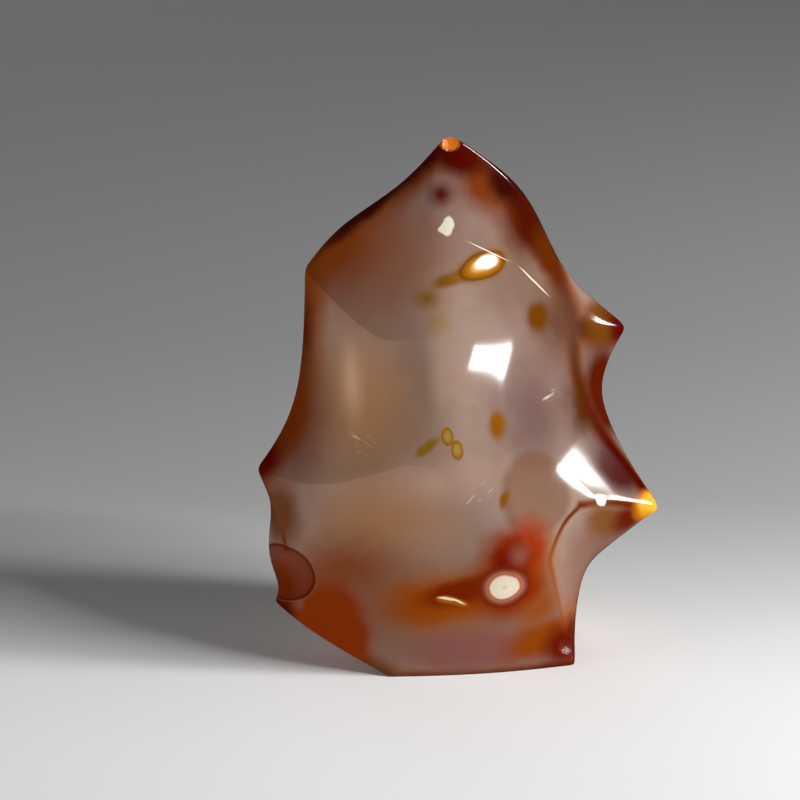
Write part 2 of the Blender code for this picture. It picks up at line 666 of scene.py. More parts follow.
@dataclass
class AgateStone:
    """The stone: a cage of corners smoothed between creased ridges, less its marks and chips.

    Attributes:
        rings: Corners from the foot to the crown, each ring round from the left edge past the front.
        apex: The topmost corner.
        base_left: Inner corner of the sawn base at the left.
        base_front: Inner corner of the sawn base at the front.
        splits: Pairs of corners, (ring, column), each pair splitting a pane.
        ridges: Runs of corners, with how sharp each stretch is and how far rust soaks in, in millimetres.
        tips: Corners that stay pointed, with how sharp each is.
        painted_shades: Painted shade: panes darker or lighter up to a ridge, with the share of light at
            each corner.
        cuts: Wheel marks and chips.
        halvings: How often each pane is halved.
        first_ring: Radius of the ring that the foot's corners are moved from, in metres.
        crisp: Edges that turn more than this stay crisp, in degrees.
    """

    rings: tuple[tuple[Corner, ...], ...]
    apex: Corner
    base_left: Corner
    base_front: Corner
    splits: tuple[tuple[Place, Place], ...]
    ridges: tuple[tuple[tuple[Place, ...], tuple[float, ...], float], ...]
    tips: dict[Place, float]
    painted_shades: dict[Place, tuple[float, ...]]
    cuts: tuple[Cut, ...]
    halvings: int = 5
    first_ring: float = 0.03
    crisp: float = 40.0

    @property
    def columns(self) -> int:
        """Corners in each ring."""
        return len(self.rings[0])

    @property
    def inner(self) -> list[Vector]:
        """Inner corners of the sawn base in metres, the left one first."""
        return [Vector(self.base_left) * MM, Vector(self.base_front) * MM]

    def corner(self, place: Place) -> Vector:
        """Return a cage corner.

        Args:
            place: Ring and column. The ring past the last is the apex.

        Returns:
            The corner in metres.
        """
        ring, column = place
        if ring == len(self.rings):
            return Vector(self.apex) * MM
        return Vector(self.rings[ring][column % self.columns]) * MM

    def ring(self, index: int) -> list[Vector]:
        """Return a ring's corners in metres."""
        return [self.corner((index, column)) for column in range(self.columns)]

    @staticmethod
    def select(shape: bmesh.types.BMesh, corners: list[Vector]) -> list[bmesh.types.BMVert]:
        """Select only the verts that lie at the given corners.

        Args:
            shape: The edit mesh.
            corners: Corners in metres.

        Returns:
            The verts, in the order of the corners.
        """
        for vert in shape.verts:
            vert.select = False
        found = [min(shape.verts, key=lambda v: (v.co - corner).length) for corner in corners]
        for vert in found:
            vert.select = True
        shape.select_mode = {"VERT"}
        shape.select_flush_mode()
        shape.select_flush(True)
        return found

    def pick(self, mesh: bpy.types.Mesh, corners: list[Vector]) -> None:
        """Select only the given corners of the mesh in edit mode."""
        self.select(bmesh.from_edit_mesh(mesh), corners)
        bmesh.update_edit_mesh(mesh)

    def cage(self) -> bpy.types.Object:
        """Make the cage: a ring of edges at the foot, extruded ring by ring to the apex and closed.

        Returns:
            The cage.
        """
        bpy.ops.object.select_all(action="DESELECT")
        bpy.ops.mesh.primitive_circle_add(
            vertices=self.columns, radius=self.first_ring, fill_type="NOTHING"
        )
        stone = bpy.context.object
        stone.name = "polished_agate_stone"
        bpy.ops.object.mode_set(mode="EDIT")
        bpy.ops.mesh.select_mode(type="VERT")
        mesh = stone.data
        shape = bmesh.from_edit_mesh(mesh)
        for vert, corner in zip(shape.verts, self.ring(0)):
            vert.co = corner
        bmesh.update_edit_mesh(mesh)
        for ring in range(1, len(self.rings) + 1):
            bpy.ops.mesh.extrude_region_move()
            shape = bmesh.from_edit_mesh(mesh)
            below = self.ring(ring - 1)
            for vert in [v for v in shape.verts if v.select]:
                column = min(range(self.columns), key=lambda c: (vert.co - below[c]).length)
                vert.co = self.corner((ring, column))
            bmesh.update_edit_mesh(mesh)
        bpy.ops.mesh.merge(type="CENTER")
        self.close_underside(mesh)
        for start, end in self.splits:
            self.pick(mesh, [self.corner(start), self.corner(end)])
            bpy.ops.mesh.vert_connect()
        bpy.ops.mesh.select_all(action="SELECT")
        bpy.ops.mesh.normals_make_consistent(inside=False)
        self.crease(mesh)
        self.store_face_shades(mesh)
        bpy.ops.object.mode_set(mode="OBJECT")
        return stone

    def close_underside(self, mesh: bpy.types.Mesh) -> None:
        """Fill the undercut left side and the flat sawn base of the cage in edit mode.

        Args:
            mesh: The cage's mesh.
        """
        foot = self.ring(0)
        left, front = self.inner
        self.pick(mesh, foot[:2])
        bpy.ops.mesh.extrude_region_move()
        shape = bmesh.from_edit_mesh(mesh)
        for vert in [v for v in shape.verts if v.select]:
            vert.co = left if (vert.co - foot[0]).length < (vert.co - foot[1]).length else front
        bmesh.update_edit_mesh(mesh)
        patches = (
            [foot[2], foot[1], front],
            [foot[0], foot[-1], left],
            [foot[-1], foot[-2], left],
            [left, front] + foot[2:-1],
        )
        for patch in patches:
            self.pick(mesh, patch)
            bpy.ops.mesh.edge_face_add()

    def crease(self, mesh: bpy.types.Mesh) -> None:
        """Crease the ridges and tips in edit mode, and note how far rust soaks in from each edge.

        Args:
            mesh: The cage's mesh.
        """
        shape = bmesh.from_edit_mesh(mesh)
        sharpness = shape.edges.layers.float.new("crease_edge")
        pointed = shape.verts.layers.float.new("crease_vert")
        soak = shape.edges.layers.float.new("soak")
        foot = self.ring(0)
        left, front = self.inner
        runs = [(foot + foot[:1], (1.0,) * self.columns, 0.0)]
        runs.append(([foot[2], front, left, foot[-2]], (1.0,) * 3, 0.0))
        runs += [([self.corner(p) for p in places], sharp, rust) for places, sharp, rust in self.ridges]
        for corners, sharp, rust in runs:
            verts = self.select(shape, corners)
            for start, end, value in zip(verts, verts[1:], sharp):
                edge = shape.edges.get((start, end))
                edge[sharpness] = value
                edge[soak] = rust
        for place, value in self.tips.items():
            self.select(shape, [self.corner(place)])[0][pointed] = value
        bmesh.update_edit_mesh(mesh)

    def store_face_shades(self, mesh: bpy.types.Mesh) -> None:
        """Give the corners of panes their painted shade in edit mode, so that it can jump at a ridge.

        Args:
            mesh: The cage's mesh.
        """
        shape = bmesh.from_edit_mesh(mesh)
        # Painted shade, stored at each corner of a pane
        layer = shape.loops.layers.float.new("painted_shade")
        for (ring, column), painted_shades in self.painted_shades.items():
            places = ((ring, column), (ring, column + 1), (ring + 1, column + 1), (ring + 1, column))
            painted_shade = dict(zip(self.select(shape, [self.corner(place) for place in places]), painted_shades))
            for face in shape.faces:
                if all(vert in painted_shade for vert in face.verts):
                    for loop in face.loops:
                        loop[layer] = painted_shade[loop.vert]
        bmesh.update_edit_mesh(mesh)

    def smooth(self, stone: bpy.types.Object) -> list[tuple[Vector, float]]:
        """Smooth the cage between its ridges, and drop the creases.

        Args:
            stone: The cage.

        Returns:
            Points along the rusty edges, each with how far rust soaks in, in metres.
        """
        bpy.ops.object.modifier_add(type="SUBSURF")
        smoothing = stone.modifiers[-1]
        smoothing.levels = self.halvings
        smoothing.render_levels = self.halvings
        bpy.ops.object.modifier_apply(modifier=smoothing.name)
        mesh = stone.data
        soak = mesh.attributes["soak"].data
        edges = []
        for edge in mesh.edges:
            if soak[edge.index].value > 0.0:
                start, end = (mesh.vertices[i].co for i in edge.vertices)
                edges.append(((start + end) / 2.0, soak[edge.index].value * MM))
        for name in ("soak", "crease_edge", "crease_vert"):
            mesh.attributes.remove(mesh.attributes[name])
        return edges

    def cut_marks(self, stone: bpy.types.Object) -> None:
        """Cut the wheel marks and chips. The faces of a chip take the bruised finish.

        Args:
            stone: The smoothed stone, with its finishes.
        """
        for cut in self.cuts:
            cutter = cut.make()
            for slot in stone.data.materials:
                cutter.data.materials.append(slot)
            skin = Skin.BRUISED if cut.rough else Skin.POLISHED
            for face in cutter.data.polygons:
                face.material_index = skin.value
            bpy.context.view_layer.objects.active = stone
            marking = stone.modifiers.new(cut.name, "BOOLEAN")
            marking.operation = "DIFFERENCE"
            marking.solver = "EXACT"
            marking.object = cutter
            bpy.ops.object.modifier_apply(modifier=marking.name)
            bpy.data.objects.remove(cutter)

    @staticmethod
    def soak_edges(stone: bpy.types.Object, edges: list[tuple[Vector, float]]) -> None:
        """Store how rusty each vert is, from 1 on a rusty edge to 0 where the rust ends.

        Args:
            stone: The finished stone.
            edges: Points along the rusty edges, each with how far rust soaks in, in metres.
        """
        rust = stone.data.attributes.new("rust", "FLOAT", "POINT").data
        values = [0.0] * len(rust)
        for width in sorted({width for _, width in edges}):
            points = [point for point, reach in edges if reach == width]
            tree = KDTree(len(points))
            for index, point in enumerate(points):
                tree.insert(point, index)
            tree.balance()
            for vert in stone.data.vertices:
                _, _, distance = tree.find(vert.co)
                values[vert.index] = max(values[vert.index], 1.0 - distance / width)
        rust.foreach_set("value", values)

    def build(self, polished: bpy.types.Material, bruised: bpy.types.Material) -> bpy.types.Object:
        """Build the stone in place of the plain solid.

        Args:
            polished: Material of the polished skin.
            bruised: Material of the chips.

        Returns:
            The finished stone.
        """
        stone = self.cage()
        edges = self.smooth(stone)
        stone.data.materials.append(polished)
        stone.data.materials.append(bruised)
        self.cut_marks(stone)
        self.soak_edges(stone, edges)
        bpy.ops.object.select_all(action="DESELECT")
        stone.select_set(True)
        bpy.context.view_layer.objects.active = stone
        bpy.ops.object.shade_smooth_by_angle(angle=math.radians(self.crisp))
        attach(stone, "root")
        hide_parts("agate_stone")
        return stone


@dataclass(frozen=True)
class Softbox:
    """A soft rectangular light that looks at the stone.

    Attributes:
        name: The light's name.
        side: Direction from the stone: right, back and up.
        distance: Distance from the stone, in metres.
        size: Width and height, in metres.
        power: Power, in watts.
        roll: Turn about the way that it looks, in degrees.
        mirrored: Whether the polish shows it. A fill light with a polariser isn't.
    """

    name: str
    side: Triple
    distance: float
    size: tuple[float, float]
    power: float
    roll: float = 0.0
    mirrored: bool = True

    def make(self, target: Vector) -> None:
        """Add the light.

        Args:
            target: The point that it looks at.
        """
        light = bpy.data.lights.new(self.name, "AREA")
        light.shape = "RECTANGLE"
        light.size, light.size_y = self.size
        light.energy = self.power
        lamp = bpy.data.objects.new(self.name, light)
        bpy.context.scene.collection.objects.link(lamp)
        lamp.visible_glossy = self.mirrored
        lamp.visible_camera = False
        outward = Vector(self.side).normalized()
        lamp.location = target + outward * self.distance
        rolled = Matrix.Rotation(math.radians(self.roll), 3, "Z")
        lamp.rotation_euler = (outward.to_track_quat("Z", "Y").to_matrix() @ rolled).to_euler()


@dataclass
class Studio:
    """The pale table and grey backdrop, one curved sheet with painted fall-off, the lights and the
    camera.

    Attributes:
        table_front: Front end of the table, in metres.
        table_back: Where the table starts to curve up, in metres.
        bend: Radius of the curve, in metres.
        bend_steps: Flats in the curve.
        wall: Height of the wall above the curve, in metres.
        width: Width of the table, in metres.
        paper: Painted fall-off of the light: distance back and up the wall in metres, and linear grey.
        matt: Roughness of the paper.
        lights: The softboxes.
        aim: The point that they look at, in metres.
        air: Grey of the room round the stage, linear.
        eye_level: The camera's angle above the table, in degrees.
        eye_distance: The camera's distance from its target, in metres.
        eye_reach: How far the camera sees, in metres.
        film: Width of the camera's film, in millimetres.
        lens: Focal length, in millimetres.
        target: The point at the middle of the picture, in metres.
    """

    table_front: float = -2.0
    table_back: float = 0.85
    bend: float = 0.35
    bend_steps: int = 32
    wall: float = 1.2
    width: float = 4.0
    # Painted shade: the light's fall-off, from white under the stone to grey at the back
    paper: tuple[tuple[float, float], ...] = (
        (-0.06, 1.0),
        (0.0, 0.9),
        (0.04, 0.6),
        (0.08, 0.42),
        (0.2, 0.36),
        (0.6, 0.30),
    )
    matt: float = 0.7
    lights: tuple[Softbox, ...] = (
        Softbox("key_softbox", (0.830, -0.286, 0.479), 0.8, (0.38, 0.045), 5.4, roll=-46.0),
        Softbox("side_softbox", (0.885, -0.125, 0.446), 0.8, (0.10, 0.20), 3.6, roll=18.0),
        Softbox("left_fill", (-0.95, -0.30, 0.08), 1.0, (0.60, 0.60), 5.0, mirrored=False),
        Softbox("front_fill", (-0.35, -0.93, 0.06), 1.6, (0.9, 0.5), 2.8, mirrored=False),
        Softbox("back_fill", (-0.30, 0.95, 0.06), 1.2, (0.9, 0.4), 9.0, mirrored=False),
    )
    aim: Corner = (0.0, 0.0, 0.05)
    air: float = 0.02
    eye_level: float = 19.0
    eye_distance: float = 0.70
    eye_reach: float = 20.0
    film: float = 36.0
    lens: float = 157.5
    target: Corner = (-0.0114, 0.0015, 0.0504)

    def table(self) -> bpy.types.Object:
        """Make the table and wall as one curved sheet.

        Returns:
            The sheet.
        """
        bpy.ops.object.select_all(action="DESELECT")
        bpy.ops.mesh.primitive_plane_add(size=1.0)
        sheet = bpy.context.object
        sheet.name = "table_and_backdrop"
        depth = self.table_back - self.table_front
        sheet.scale = (self.width, depth, 1.0)
        sheet.location = (0.0, self.table_back - depth / 2.0, 0.0)
        bpy.ops.object.transform_apply(location=True, rotation=True, scale=True)
        bpy.ops.object.mode_set(mode="EDIT")
        bpy.ops.mesh.select_mode(type="EDGE")
        shape = bmesh.from_edit_mesh(sheet.data)
        for edge in shape.edges:
            edge.select = all(vert.co.y > self.table_back - 0.1 * MM for vert in edge.verts)
        shape.select_flush_mode()
        bmesh.update_edit_mesh(sheet.data)
        bpy.ops.mesh.spin(
            steps=self.bend_steps,
            angle=math.radians(90.0),
            center=(0.0, self.table_back, self.bend),
            axis=(-1.0, 0.0, 0.0),
        )
        bpy.ops.mesh.extrude_region_move(TRANSFORM_OT_translate={"value": (0.0, 0.0, self.wall)})
        bpy.ops.object.mode_set(mode="OBJECT")
        bpy.ops.object.shade_smooth()
        sheet.data.materials.append(self.paint())
        # Mirrored in the polish, the pale table would turn the low reds milky
        sheet.visible_glossy = False
        return sheet

    def paint(self) -> bpy.types.Material:
        """Make the matt paper: painted shade from white near to grey far back, too matt for a highlight.

        Returns:
            The material.
        """
        material = bpy.data.materials.new("matt_paper_painted_falloff")
        material.use_nodes = True
        tree = material.node_tree
        shader = tree.nodes["Principled BSDF"]
        coordinates = add_node(tree, "ShaderNodeTexCoord")
        parts = add_node(tree, "ShaderNodeSeparateXYZ", None, {0: coordinates.outputs["Object"]})
        way = add_node(tree, "ShaderNodeMath", None, {0: parts.outputs["Y"], 1: parts.outputs["Z"]})
        near, far = self.paper[0][0], self.paper[-1][0]
        share = add_node(
            tree,
            "ShaderNodeMapRange",
            None,
            {"Value": way.outputs[0], "From Min": near, "From Max": far},
        )
        # Painted shade: white near the stone, greyer with distance, as light falls off
        falloff_greys = add_node(tree, "ShaderNodeValToRGB", None, {0: share.outputs[0]})
        falloff_greys.color_ramp.interpolation = "B_SPLINE"
        stops = [
            ((distance - near) / (far - near), (grey, grey, grey, 1.0)) for distance, grey in self.paper
        ]
        fill_ramp(falloff_greys.color_ramp, stops)
        tree.links.new(falloff_greys.outputs["Color"], shader.inputs["Base Color"])
        shader.inputs["Roughness"].default_value = self.matt
        return material

    def camera(self) -> None:
        """Add the camera at the photograph's viewing angle."""
        data = bpy.data.cameras.new("studio_camera")
        data.sensor_width = self.film
        data.lens = self.lens
        data.clip_end = self.eye_reach
        camera = bpy.data.objects.new("studio_camera", data)
        bpy.context.scene.collection.objects.link(camera)
        level = math.radians(self.eye_level)
        back = Vector((0.0, -math.cos(level), math.sin(level)))
        camera.location = Vector(self.target) + back * self.eye_distance
        camera.rotation_euler = back.to_track_quat("Z", "Y").to_euler()
        bpy.context.scene.camera = camera

    def build(self) -> bpy.types.Object:
        """Build the stage, the lights, the room and the camera.

        Returns:
            The table and wall.
        """
        sheet = self.table()
        for light in self.lights:
            light.make(Vector(self.aim))
        world = bpy.data.worlds.new("studio_air")
        world.use_nodes = True
        world.node_tree.nodes["Background"].inputs["Color"].default_value = (self.air,) * 3 + (1.0,)
        bpy.context.scene.world = world
        bpy.context.scene.view_settings.view_transform = "Standard"
        self.camera()
        return sheet


# Tips and corners of the stone, in millimetres: x to the right, y to the back, z up from the table
APEX = (-2.0, -2.0, 106.5)
LEFT_SHOULDER = (-30.5, 0.5, 78.5)
RIGHT_SHOULDER = (35.5, 10.5, 62.5)
LEFT_POINT = (-40.5, -1.5, 37.0)
RIGHT_POINT = (41.5, -6.0, 29.5)
LEFT_HEEL = (-37.0, -7.5, 11.0)
FRONT_HEEL = (-13.5, -21.0, 0.0)
RIGHT_HEEL = (23.5, -15.0, 0.0)

# Rings of the cage from the foot to the crown. Each goes round from the left edge, past the
# front to the right edge, and back behind the stone.
FOOT = (
    LEFT_HEEL,
    (-29.0, -15.5, 7.0),
    FRONT_HEEL,
    (-1.5, -20.5, 0.0),
    (11.5, -18.5, 0.0),
    RIGHT_HEEL,
    (24.5, -2.5, 0.0),
    (21.0, 11.5, 0.0),
    (9.0, 17.5, 0.0),
    (-8.0, 17.5, 0.0),
    (-34.0, 6.5, 8.0),
)
SKIRT = (
    (-32.0, -11.5, 23.5),
    (-23.0, -19.5, 20.5),
    (-14.5, -23.5, 17.0),
    (-1.5, -22.5, 16.5),
    (10.5, -20.5, 16.5),
    (18.0, -18.0, 24.0),
    (28.0, -1.0, 17.0),
    (21.0, 13.5, 15.0),
    (9.0, 20.5, 15.0),
    (-10.0, 20.5, 15.0),
    (-47.5, 3.5, 15.0),
)
POINTS = (
    LEFT_POINT,
    (-29.5, -11.5, 36.0),
    (-16.5, -20.5, 42.5),
    (-2.5, -23.0, 50.5),
    (9.5, -24.5, 30.0),
    (22.0, -14.8, 36.5),
    RIGHT_POINT,
    (25.0, 15.5, 33.0),
    (10.0, 23.5, 40.0),
    (-12.0, 22.5, 38.0),
    (-33.0, 11.0, 31.0),
)
WAIST = (
    (-31.0, -0.5, 50.0),
    (-22.5, -5.5, 53.0),
    (-12.5, -13.5, 55.5),
    (-6.0, -24.0, 59.0),
    (10.0, -14.5, 61.5),
    (23.5, 0.0, 49.5),
    (28.2, 9.5, 52.0),
    (22.0, 13.5, 51.0),
    (10.0, 21.5, 54.0),
    (-8.0, 21.5, 52.0),
    (-24.0, 8.5, 53.0),
)
SHOULDERS = (
    LEFT_SHOULDER,
    (-21.0, -6.5, 69.5),
    (-12.0, -13.5, 65.0),
    (-4.5, -13.0, 68.5),
    (10.5, -7.0, 68.5),
    (23.0, 3.0, 65.0),
    RIGHT_SHOULDER,
    (24.0, 16.5, 68.0),
    (9.0, 21.5, 69.0),
    (-8.0, 20.5, 66.0),
    (-23.0, 10.5, 72.0),
)
NECK = (
    (-24.0, 1.5, 87.0),
    (-14.5, -3.5, 85.0),
    (-5.5, -7.0, 85.5),
    (1.5, -7.5, 86.5),
    (9.5, -3.5, 85.5),
    (18.9, 4.5, 80.5),
    (20.5, 9.5, 74.5),
    (14.0, 12.5, 83.0),
    (4.0, 16.5, 84.0),
    (-7.0, 14.5, 84.0),
    (-17.0, 7.5, 86.0),
)
CROWN = (
    (-11.0, 1.5, 94.5),
    (-9.0, -0.5, 95.0),
    (-6.5, -3.5, 95.5),
    (-1.5, -4.0, 96.5),
    (4.5, -2.5, 96.5),
    (12.3, 1.5, 95.6),
    (16.0, 8.0, 91.5),
    (8.0, 7.5, 93.0),
    (2.0, 9.0, 95.0),
    (-4.0, 7.0, 95.0),
    (-8.0, 3.0, 95.0),
)
RINGS = (FOOT, SKIRT, POINTS, WAIST, SHOULDERS, NECK, CROWN)

# Panes that a ridge splits into two triangles, each by its two corners, (ring, column)
SPLITS = (((2, 6), (3, 5)), ((2, 4), (1, 5)))

# Inner corners of the sawn base, where the undercut left side leaves the table
BASE_LEFT = (-23.0, 3.5, 0.0)
BASE_FRONT = (-19.0, -11.5, 0.0)

# Ridges as runs of corners, how sharp each stretch is, and how far in the rust shows, in millimetres
TOP = (len(RINGS), 0)
RIDGES = (
    ((TOP, (6, 0), (5, 0), (4, 0)), (0.8, 0.8, 0.8), 6.0),
    (((4, 0), (3, 0), (2, 0)), (0.8, 0.8), 6.5),
    (((4, 0), (4, 1), (4, 2), (4, 3)), (0.8, 0.7, 0.25), 0.0),
    (((2, 0), (2, 1), (2, 2), (2, 3)), (0.85, 0.8, 0.45), 0.0),
    (((2, 0), (1, 0)), (0.7,), 1.2),
    ((TOP, (6, 2), (5, 2)), (0.6, 0.35), 0.0),
    ((TOP, (6, 5), (5, 5), (4, 5)), (0.8, 0.8, 0.8), 5.0),
    (((4, 5), (3, 5), (2, 6)), (0.8, 0.8), 3.0),
    (((4, 5), (4, 6)), (0.75,), 5.0),
    (((3, 4), (2, 4), (1, 5)), (0.4, 0.6), 0.0),
    (((4, 3), (3, 3)), (0.3,), 0.0),
    (((2, 6), (2, 5)), (0.8,), 1.2),
    (((2, 6), (1, 6)), (0.45,), 0.0),
    (((4, 6), (3, 6)), (0.4,), 0.0),
    (((2, 5), (1, 5), (0, 5)), (0.8, 0.8), 0.8),
    (((4, 6), (4, 7), (4, 8)), (0.8, 0.55), 0.0),
    (((2, 6), (2, 7), (2, 8)), (0.8, 0.55), 0.0),
    (((2, 7), (1, 7), (0, 7)), (0.6, 0.8), 0.0),
    (((4, 0), (4, 10), (4, 9)), (0.7, 0.5), 0.0),
    (((2, 0), (2, 10), (2, 9)), (0.8, 0.5), 0.0),
    ((TOP, (6, 8), (5, 8), (4, 8)), (0.6, 0.6, 0.4), 0.0),
    (((0, 0), (0, 1), (0, 2)), (1.0, 1.0), 4.0),
    (((0, 2), (0, 3), (0, 4), (0, 5)), (1.0, 1.0, 1.0), 2.0),
    (((0, 5), (0, 6), (0, 7)), (1.0, 1.0), 3.0),
)

# Corners that stay pointed where the ridges meet, with how sharp each is
TIPS = {
    TOP: 0.7,
    (4, 0): 0.4,
    (4, 6): 0.4,
    (4, 5): 0.7,
    (2, 0): 0.9,
    (2, 6): 0.9,
    (0, 0): 0.4,
    (0, 2): 0.5,
    (0, 5): 0.85,
}

# Wheel marks and chips cut after the stone was shaped
CUTS = (
    Cut("left_heel_scallop", (-31.0, -10.5, 18.5), -46.0, 4.0, (13.0, 11.0, 9.0)),
    Cut("apex_chip", (-1.4, -1.7, 103.5), 10.0, 35.0, (6.0, 5.0, 6.0), rough=0.1),
    Cut("right_point_chip", (38.6, -7.2, 30.0), 15.0, 20.0, (5.0, 6.0, 7.0), rough=0.1),
    Cut("right_heel_chip", (21.3, -14.9, 4.0), 40.0, 10.0, (4.0, 3.0, 4.0), rough=0.06),
)

# Rings of the eyes from the middle out: where each colour is full, and how opaque it is there
WHITE_EYE = (
    (0.0, "#e8c88a", 1.0),
    (0.3, "#d9ac5c", 1.0),
    (0.44, "#a87020", 1.0),
    (0.58, "#945a02", 1.0),
    (0.68, "#6e3c04", 0.95),
    (0.8, "#8a6434", 0.5),
    (1.0, "#947050", 0.0),
)
CREAM_EYE = (
    (0.0, "#d9a878", 1.0),
    (0.14, "#efe2cf", 1.0),
    (0.46, "#eadac4", 1.0),
    (0.53, "#b5622e", 1.0),
    (0.6, "#b0705c", 1.0),
    (0.7, "#8a4432", 0.95),
    (0.82, "#762208", 0.8),
    (1.0, "#802e02", 0.0),
)
SMALL_EYE = (
    (0.0, "#a98d52", 1.0),
    (0.45, "#a08446", 1.0),
    (0.66, "#a56a08", 1.0),
    (0.84, "#8e5c10", 1.0),
    (1.0, "#94703a", 0.0),
)

# Painted shade and painted reflection: panes darkened or lightened up to a ridge, as the ground faces
# would catch light and mirror the table. Each corner's share of light more or less, in the order of
# (ring, column), the next column, the ring above that, and the ring above the first
PAINTED_SHADES = {
    (4, 0): (-0.2, -0.18, -0.04, 0.0),
    (4, 1): (-0.18, -0.1, 0.0, -0.04),
    (4, 2): (-0.1, 0.0, 0.0, 0.0),
    (3, 0): (0.0, 0.0, 0.12, 0.06),
    (3, 1): (0.0, 0.0, 0.08, 0.12),
    (3, 2): (0.0, 0.0, 0.0, 0.08),
    (2, 0): (-0.06, -0.1, 0.0, 0.0),
    (2, 1): (-0.1, -0.06, 0.0, 0.0),
    (2, 2): (-0.06, 0.0, 0.0, 0.0),
    (1, 0): (0.0, 0.0, 0.1, 0.1),
    (1, 1): (0.0, 0.0, 0.14, 0.1),
    (1, 2): (0.0, 0.0, 0.04, 0.14),
}

# The scallop low on the left: its inside in the stone's own orange, and painted shade along
# its edge, a dark line with a lighter one just outside it
HEEL_SCALLOP_SHADE = (
    (0.0, "#803404", 0.8),
    (0.84, "#742400", 0.8),
    (0.93, "#4a1400", 0.95),
    (0.97, "#8c4c28", 0.7),
    (1.0, "#8c4c28", 0.0),
)

